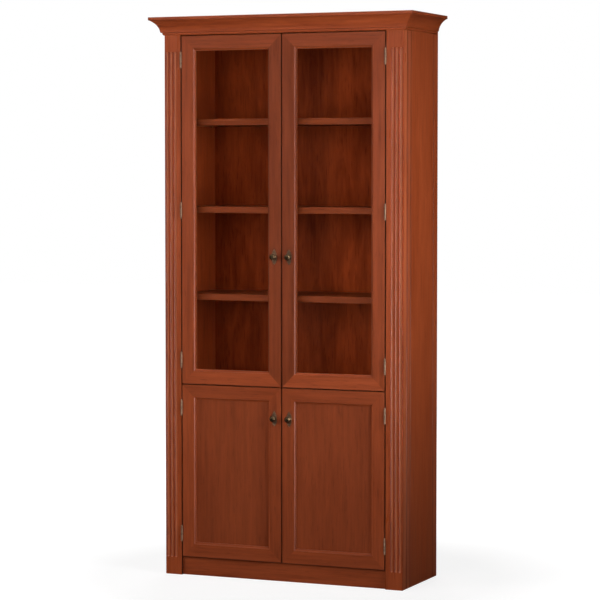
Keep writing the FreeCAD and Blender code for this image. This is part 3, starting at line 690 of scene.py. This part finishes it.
# Catches: a magnetic catch for each door, in a body of moulded brown plastic with a fine pebbled
# skin. The upper two are fixed under the head rail, and the lower two under the deck.
plastic, tree, output = new_material("catch_plastic")
place = add(tree, "ShaderNodeTexCoord").outputs["Object"]
pebble = add(tree, "ShaderNodeTexNoise", Vector=place, Scale=1500, Detail=1).outputs["Fac"]
skin = add(tree, "ShaderNodeBump", Strength=0.2, Distance=0.0002, Height=pebble)
moulded = add(
    tree,
    "ShaderNodeBsdfPrincipled",
    Base_Color=(0.09, 0.05, 0.03, 1),
    Roughness=ramp(tree, pebble, 0.0, 1.0, low=0.42, high=0.58),
    Normal=skin.outputs["Normal"],
)
tree.links.new(moulded.outputs[0], output.inputs["Surface"])
dress("door_catches", plastic)


# Hinge pins: one to a hinge, turned from brass with a ball at both ends that stands clear of the
# barrel. The balls here are true ones, where the pins made with the case have plain coned ends.
HINGE_HEIGHT = 0.0498
HINGE_LINE = (0.4175, -0.1661)
HINGE_LEVELS = {"upper": (0.829, 1.4005, 1.972), "lower": (0.161, 0.646)}
PIN_RADIUS = 0.00199
BALL_RADIUS, BALL_END = 0.0035, 0.0066
BALL_STEPS = 12
SHARP_ANGLE = radians(35)


def turned(name, outline, steps=40):
    """A turned shape about the Z axis, from the radii and heights of its outline."""
    form = bmesh.new()
    rings = []
    for radius, height in outline:
        turns = [2 * pi * step / steps for step in range(steps)] if radius > 0 else [0]
        rings.append([form.verts.new((radius * cos(t), radius * sin(t), height)) for t in turns])
    for low, high in zip(rings, rings[1:]):
        for step in range(steps):
            after = (step + 1) % steps
            around = [low[step % len(low)], low[after % len(low)]]
            around += [high[after % len(high)], high[step % len(high)]]
            form.faces.new(list(dict.fromkeys(around)))
    mesh = bpy.data.meshes.new(name)
    form.to_mesh(mesh)
    form.free()
    mesh.shade_smooth()
    mesh.set_sharp_from_angle(angle=SHARP_ANGLE)
    shape = bpy.data.objects.new(name, mesh)
    bpy.context.collection.objects.link(shape)
    return shape


def geometry_tree(name, inputs):
    """An empty geometry tree, with the sockets that it is given through and the one it gives out."""
    tree = bpy.data.node_groups.new(name, "GeometryNodeTree")
    shape = {"Geometry": "Geometry"}
    for way, sockets in (("INPUT", shape | inputs), ("OUTPUT", shape)):
        for socket, kind in sockets.items():
            tree.interface.new_socket(socket, in_out=way, socket_type="NodeSocket" + kind)
    return tree, tree.nodes.new("NodeGroupInput").outputs, tree.nodes.new("NodeGroupOutput").inputs


def set_in_places():
    """Sets a shape on each point, its Z axis along the point's aim, turned as chance has it."""
    tree, given, result = geometry_tree(
        "set_in_places",
        {"Shape": "Object", "Most Turn": "Float", "Seed": "Int", "Finish": "Material"},
    )
    shape = add(tree, "GeometryNodeObjectInfo", Object=given["Shape"]).outputs["Geometry"]
    aim = add(tree, "GeometryNodeInputNamedAttribute", data_type="FLOAT_VECTOR", Name="aim")
    facing = add(tree, "FunctionNodeAlignRotationToVector", axis="Z", Vector=aim.outputs["Attribute"])
    chance = add(tree, "FunctionNodeRandomValue", data_type="FLOAT")
    for socket in chance.inputs:
        if socket.name == "Max" and socket.type == "VALUE":
            tree.links.new(given["Most Turn"], socket)
    tree.links.new(given["Seed"], chance.inputs["Seed"])
    random_turn = next(s for s in chance.outputs if s.type == "VALUE" and s.enabled)
    spin = add(tree, "FunctionNodeAxisAngleToRotation", Axis=(0, 0, 1), Angle=random_turn)
    turned_so = add(
        tree,
        "FunctionNodeRotateRotation",
        Rotation=facing.outputs[0],
        Rotate_By=spin.outputs[0],
        rotation_space="LOCAL",
    )
    placed = add(
        tree,
        "GeometryNodeInstanceOnPoints",
        Points=given["Geometry"],
        Instance=shape,
        Rotation=turned_so.outputs[0],
    )
    real = add(tree, "GeometryNodeRealizeInstances", Geometry=placed.outputs[0])
    finished = add(tree, "GeometryNodeSetMaterial", Geometry=real.outputs[0], Material=given["Finish"])
    tree.links.new(finished.outputs[0], result["Geometry"])
    return tree


SET_IN_PLACES = set_in_places()


def through_tree(shape, tree, values):
    """Puts a geometry tree on a shape and sets its named inputs."""
    modifier = shape.modifiers.new(tree.name, "NODES")
    modifier.node_group = tree
    for item in tree.interface.items_tree:
        if item.name in values:
            modifier[item.identifier] = values[item.name]


def set_pieces(name, shape, places, finish, body, most_turn=0.0):
    """One piece made of a shape set in places, each a point and the way that it faces."""
    mesh = bpy.data.meshes.new(name)
    mesh.from_pydata([place for place, _ in places], [], [])
    aims = mesh.attributes.new("aim", "FLOAT_VECTOR", "POINT")
    aims.data.foreach_set("vector", [c for _, aim in places for c in aim])
    points = bpy.data.objects.new(name + "_places", mesh)
    bpy.context.collection.objects.link(points)
    values = {"Shape": shape, "Most Turn": most_turn, "Seed": len(places), "Finish": finish}
    through_tree(points, SET_IN_PLACES, values)
    evaluated = points.evaluated_get(bpy.context.evaluated_depsgraph_get())
    piece = bpy.data.objects.new(name, bpy.data.meshes.new_from_object(evaluated))
    bpy.data.objects.remove(points)
    bpy.context.collection.objects.link(piece)
    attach(piece, body)
    return piece


neck = acos(PIN_RADIUS / BALL_RADIUS)
ball = [-pi / 2 + (neck + pi / 2) * step / BALL_STEPS for step in range(BALL_STEPS + 1)]
foot = [(BALL_RADIUS * cos(t), BALL_RADIUS * (1 + sin(t)) - BALL_END) for t in ball]
foot[0] = (0, -BALL_END)
head = [(radius, HINGE_HEIGHT - height) for radius, height in reversed(foot)]
ball_pin = turned("ball_pin", foot + head, steps=24)
pin_places = [
    ((side * HINGE_LINE[0], HINGE_LINE[1], level - HINGE_HEIGHT / 2), (0, 0, 1))
    for levels in HINGE_LEVELS.values()
    for level in levels
    for side in (-1, 1)
]
ball_pins = set_pieces("ball_tip_pins", ball_pin, pin_places, pale_brass, "case")
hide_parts("hinge_pins")
bpy.data.objects.remove(ball_pin)


# Leaf screws: slotted brass screws with low coned heads, three to a leaf. Like every screw here,
# each is a turned head with a slot or a cross cut into it, turned as chance has it.
LEAF_FACES = {"case": 0.4177, "door": 0.4173}
LEAF_SCREWS = ((-0.0165, -0.1495), (0, -0.1555), (0.0165, -0.1495))
SLOT_WIDTH, SLOT_LENGTH, CROSS_LENGTH = 0.26, 2.4, 1.15
SLOT_DEPTH = 0.45
DOME_STEPS = 5


def cut_slots():
    """Cuts a slot, or two that cross, into the top of a turned head. A cross length shorter than
    the width leaves a plain slot."""
    sizes = ("Length", "Cross Length", "Width", "Depth", "Top")
    tree, given, result = geometry_tree("cut_slots", {size: "Float" for size in sizes})
    height = calc(tree, "MULTIPLY", given["Depth"], 2.0)
    bars = []
    for long_way, wide_way in (("Length", "Width"), ("Width", "Cross Length")):
        size = add(tree, "ShaderNodeCombineXYZ", given[long_way], given[wide_way], height)
        bar = add(tree, "GeometryNodeMeshCube", Size=size.outputs[0]).outputs[0]
        lift = add(tree, "ShaderNodeCombineXYZ", 0.0, 0.0, given["Top"]).outputs[0]
        bars.append(add(tree, "GeometryNodeTransform", Geometry=bar, Translation=lift).outputs[0])
    sunk = given["Geometry"]
    for bar in bars:
        cut = add(tree, "GeometryNodeMeshBoolean", operation="DIFFERENCE", solver="EXACT")
        tree.links.new(sunk, cut.inputs[0])
        tree.links.new(bar, cut.inputs[1])
        sunk = cut.outputs[0]
    tree.links.new(sunk, result["Geometry"])
    return tree


CUT_SLOTS = cut_slots()


def screw_head(name, radius, rise, dome=0.0, sunk=0.0006, crossed=False):
    """The head of a screw, its seat at height 0: a low cone, or a dome above its rim, and a slot
    whose sizes follow the head's radius and height."""
    outline = [(0, -sunk), (0.7 * radius, -sunk), (radius, 0)]
    if dome:
        turns = [pi / 2 * step / DOME_STEPS for step in range(DOME_STEPS)]
        outline += [(radius * cos(t), rise - dome + dome * sin(t)) for t in turns]
    else:
        outline += [(radius, 0.5 * rise), (0.95 * radius, rise)]
    head = turned(name, [*outline, (0, rise)], steps=20)
    width = SLOT_WIDTH * radius
    slot = {"Width": width, "Depth": SLOT_DEPTH * (rise + sunk), "Top": rise}
    if crossed:
        slot |= {"Length": CROSS_LENGTH * radius, "Cross Length": CROSS_LENGTH * radius}
    else:
        slot |= {"Length": SLOT_LENGTH * radius, "Cross Length": width / 2}
    through_tree(head, CUT_SLOTS, slot)
    return head


def leaf_screw_places(door, leaf, way):
    """Where the screws of one door's leaves on the case or the door sit, and which way they face."""
    side = SIDE_OF[door]
    return [
        ((side * LEAF_FACES[leaf], depth, level + lift), (side * way, 0, 0))
        for level in HINGE_LEVELS[door.split("_")[0]]
        for lift, depth in LEAF_SCREWS
    ]


leaf_screw = screw_head("leaf_screw", radius=0.0027, rise=0.00014)
case_places = []
for door in DOORS:
    case_places += leaf_screw_places(door, "case", -1)
    door_places = leaf_screw_places(door, "door", 1)
    set_pieces(door + "leaf_screws", leaf_screw, door_places, pale_brass, door + "door", most_turn=pi)
set_pieces("frame_leaf_screws", leaf_screw, case_places, pale_brass, "case", most_turn=pi)
bpy.data.objects.remove(leaf_screw)

# Back screws: cross-headed, of zinc-plated steel. They hold the back to the inner sides all the
# way up, and to the bottom, the deck and the top between them.
BACK_FACE = 0.192
INNER_SIDE, BETWEEN_SIDES = 0.447, 0.15
BACK_COLUMNS = (-INNER_SIDE, -BETWEEN_SIDES, BETWEEN_SIDES, INNER_SIDE)
BOTTOM_ROW, DECK_ROW, TOP_ROW = 0.0815, 0.7365, 2.0695
BACK_ROWS = (BOTTOM_ROW, 0.30, 0.518, DECK_ROW, 1.07, 1.403, 1.736, TOP_ROW)
steel = metal("zinc_plated_steel", clean=(0.62, 0.62, 0.60), dull=(0.34, 0.34, 0.33), amount=0.38)
back_screw = screw_head("back_screw", radius=0.0034, rise=0.0004, crossed=True)
back_places = [
    ((x, BACK_FACE, z), (0, 1, 0))
    for x in BACK_COLUMNS
    for z in BACK_ROWS
    if abs(x) == INNER_SIDE or z in (BOTTOM_ROW, DECK_ROW, TOP_ROW)
]
set_pieces("back_screws", back_screw, back_places, steel, "case", most_turn=pi)
bpy.data.objects.remove(back_screw)

# Knobs: turned from solid brass, browned and glossy, with a foot, a flared neck and a flattened
# ball for a head. Each is drawn tight to its pointed plate by a machine screw with a washer behind
# the stile, and the plate is held by a small domed pin above and below.
FACE, STILE_BACK = -0.162, -0.140
KNOB_ACROSS = 0.0305
KNOB_LEVELS = {"upper": 1.228, "lower": 0.618}
PLATE_FRONT, PLATE_PINS = 0.0016, 0.022
FOOT_RADIUS, FOOT_FRONT, FOOT_EASE = 0.008, 0.0031, 0.0004
NECK_RADIUS, NECK_START, NECK_STEPS = 0.004, 0.0071, 8
HEAD_RADIUS, HEAD_MIDDLE, HEAD_FRONT, HEAD_REAR, HEAD_STEPS = 0.012, 0.0175, 0.0085, 0.00664, 24
WASHER_RADIUS, WASHER_THICK, WASHER_EASE = 0.0055, 0.0008, 0.0002
foot_rim = FOOT_RADIUS - FOOT_EASE
outline = [(0, PLATE_FRONT), (foot_rim, PLATE_FRONT), (FOOT_RADIUS, PLATE_FRONT + FOOT_EASE)]
outline += [(FOOT_RADIUS, FOOT_FRONT - FOOT_EASE), (foot_rim, FOOT_FRONT)]
for step in range(1, NECK_STEPS + 1):
    t = pi / 2 * step / NECK_STEPS
    radius = foot_rim - (foot_rim - NECK_RADIUS) * sin(t)
    outline.append((radius, NECK_START - (NECK_START - FOOT_FRONT) * cos(t)))
neck_turn = acos(NECK_RADIUS / HEAD_RADIUS)
for step in range(HEAD_STEPS):
    t = -neck_turn + (pi / 2 + neck_turn) * step / HEAD_STEPS
    depth = HEAD_FRONT if t > 0 else HEAD_REAR
    outline.append((HEAD_RADIUS * cos(t), HEAD_MIDDLE + depth * sin(t)))
outline.append((0, HEAD_MIDDLE + HEAD_FRONT))
knob_form = turned("knob_form", outline, steps=48)
plate_pin = screw_head("plate_pin", radius=0.0013, rise=0.0007, dome=0.0006)
washer_rim = [(WASHER_RADIUS, WASHER_THICK - WASHER_EASE), (WASHER_RADIUS - WASHER_EASE, WASHER_THICK)]
washer = turned("washer", [(0, 0), (WASHER_RADIUS, 0), *washer_rim, (0, WASHER_THICK)])
machine_head = screw_head("machine_head", radius=0.0036, rise=0.0023, dome=0.0013, crossed=True)
dark_brass = metal(
    "browned_brass", clean=(0.42, 0.27, 0.14), dull=(0.07, 0.04, 0.02), bare=(0.8, 1.0),
    gloss=(0.38, 0.17),
)
for door in DOORS:
    x = SIDE_OF[door] * KNOB_ACROSS
    z = KNOB_LEVELS[door.split("_")[0]]
    body = door + "door"
    front = [((x, FACE, z), (0, -1, 0))]
    knob = set_pieces(door + "turned_knob", knob_form, front, dark_brass, body)
    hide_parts(door + "knob")
    pins = [((x, FACE - PLATE_FRONT, z + lift), (0, -1, 0)) for lift in (-PLATE_PINS, PLATE_PINS)]
    set_pieces(door + "plate_pins", plate_pin, pins, brass, body, most_turn=pi)
    behind = [((x, STILE_BACK, z), (0, 1, 0))]
    set_pieces(door + "knob_washer", washer, behind, steel, body)
    behind = [((x, STILE_BACK + WASHER_THICK, z), (0, 1, 0))]
    set_pieces(door + "knob_screw", machine_head, behind, steel, body, most_turn=pi)
for shape in (knob_form, plate_pin, washer, machine_head):
    bpy.data.objects.remove(shape)


# Catch plates: thin steel plates on the backs of the doors, which the catches pull on, each held by
# a screw at both ends, and the two steel poles in the face of each catch.
PLATE_HALF, PLATE_EASE = (0.021, 0.00025, 0.007), 0.003
PLATE_LEVELS = {"upper": 2.054, "lower": 0.718}
PLATE_SCREW_ACROSS = 0.0185
CATCH_FACE = -0.1394
CATCH_LEVELS = {"upper": 2.060, "lower": 0.718}
POLE_HALF, POLE_EASE = (0.013, 0.000025, 0.0008), 0.0003
POLE_RISE = 0.0025


def plates(name, boxes, body, ease):
    """Steel plates between pairs of corners, their upright edges rounded, as one piece."""
    form = bmesh.new()
    for low, high in boxes:
        made = bmesh.ops.create_cube(form, size=1)["verts"]
        bmesh.ops.scale(form, vec=Vector(high) - Vector(low), verts=made)
        bmesh.ops.translate(form, vec=(Vector(high) + Vector(low)) / 2, verts=made)
    through = [edge for edge in form.edges if abs((edge.verts[0].co - edge.verts[1].co).y) > 1e-6]
    bmesh.ops.bevel(form, geom=through, offset=ease, segments=3, affect="EDGES", profile=0.5)
    mesh = bpy.data.meshes.new(name)
    form.to_mesh(mesh)
    form.free()
    mesh.materials.append(steel)
    piece = bpy.data.objects.new(name, mesh)
    bpy.context.collection.objects.link(piece)
    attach(piece, body)


def box_around(middle, half):
    """The two corners of a box from its middle and half its sizes."""
    return Vector(middle) - Vector(half), Vector(middle) + Vector(half)


strike_screw = screw_head("strike_screw", radius=0.0016, rise=0.0002, crossed=True)
poles = []
for door in DOORS:
    level = door.split("_")[0]
    x = SIDE_OF[door] * KNOB_ACROSS
    z = PLATE_LEVELS[level]
    strike = box_around((x, STILE_BACK + PLATE_HALF[1], z), PLATE_HALF)
    plates(door + "catch_plate", [strike], door + "door", ease=PLATE_EASE)
    ends = [((x + way * PLATE_SCREW_ACROSS, strike[1].y, z), (0, 1, 0)) for way in (-1, 1)]
    set_pieces(door + "plate_screws", strike_screw, ends, steel, door + "door", most_turn=pi)
    for rise in (-POLE_RISE, POLE_RISE):
        pole = (x, CATCH_FACE - POLE_HALF[1], CATCH_LEVELS[level] + rise)
        poles.append(box_around(pole, POLE_HALF))
plates("catch_poles", poles, "case", ease=POLE_EASE)
bpy.data.objects.remove(strike_screw)

# Bead brads: they pin the glass beads into the rebates of the upper doors, one every 150 mm or so.
# Small brass heads that stand just proud of the wood, with a fine slot like the screws'.
BRAD_STEP, BRAD_END, BRAD_INSET = 0.15, 0.035, 0.0035
brad = screw_head("brad", radius=0.0009, rise=0.00025, dome=0.0002)
for hand in ("left", "right"):
    low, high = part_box(f"upper_{hand}_glass_beads")
    places = []
    for axis, across in ((0, 2), (2, 0)):
        length = high[axis] - low[axis] - 2 * BRAD_END
        count = round(length / BRAD_STEP) + 1
        for edge in (low[across] + BRAD_INSET, high[across] - BRAD_INSET):
            for number in range(count):
                spot = [0, high[1], 0]
                spot[across] = edge
                spot[axis] = low[axis] + BRAD_END + length * number / (count - 1)
                places.append((tuple(spot), (0, 1, 0)))
    set_pieces(f"upper_{hand}_bead_brads", brad, places, brass, f"upper_{hand}_door", most_turn=pi)
bpy.data.objects.remove(brad)
